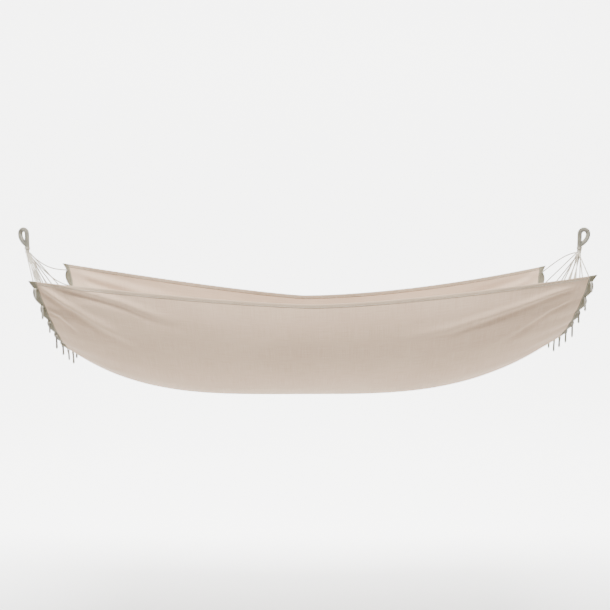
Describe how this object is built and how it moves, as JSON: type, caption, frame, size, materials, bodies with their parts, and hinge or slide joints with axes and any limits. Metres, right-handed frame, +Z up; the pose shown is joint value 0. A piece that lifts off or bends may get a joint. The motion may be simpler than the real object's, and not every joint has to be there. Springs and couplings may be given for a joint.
{
  "type": "cloth hammock",
  "caption": "Cloth hammock that hangs as a shallow boat between two served rope eyes, with cords fanning from each neck to a knotted end hem.",
  "frame": {"origin": "the point inside the top of the left eye where it bears on its hook", "axes": "+X from the left eye to the right eye, +Y to the back, +Z up"},
  "size_m": [2.1597, 0.7114, 0.6335],
  "materials": {
    "canvas": "matte",
    "hem": "matte",
    "cord": "matte",
    "served_rope": "matte",
    "whipping": "matte"
  },
  "bodies": {
    "eyes": {"left_eye_loop": "served_rope", "right_eye_loop": "served_rope", "neck_whippings": "whipping"},
    "bed": {"bed_cloth": "canvas", "front_side_hem": "hem", "back_side_hem": "hem", "left_end_hem": "hem", "right_end_hem": "hem", "left_cord_bundle": "cord", "right_cord_bundle": "cord", "left_cord_01": "cord", "left_cord_02": "cord", "left_cord_03": "cord", "left_cord_04": "cord", "left_cord_05": "cord", "left_cord_06": "cord", "left_cord_07": "cord", "left_cord_08": "cord", "left_cord_09": "cord", "left_cord_10": "cord", "left_cord_11": "cord", "left_cord_12": "cord", "left_cord_13": "cord", "left_cord_14": "cord", "right_cord_01": "cord", "right_cord_02": "cord", "right_cord_03": "cord", "right_cord_04": "cord", "right_cord_05": "cord", "right_cord_06": "cord", "right_cord_07": "cord", "right_cord_08": "cord", "right_cord_09": "cord", "right_cord_10": "cord", "right_cord_11": "cord", "right_cord_12": "cord", "right_cord_13": "cord", "right_cord_14": "cord"}
  },
  "joints": [
    {"name": "bed_swing", "type": "hinge", "parent": "eyes", "child": "bed", "pos_m": [0.01472, -0.0085, -0.074], "axis": [1, 0, 0], "range_deg": [-30, 30]}
  ]
}
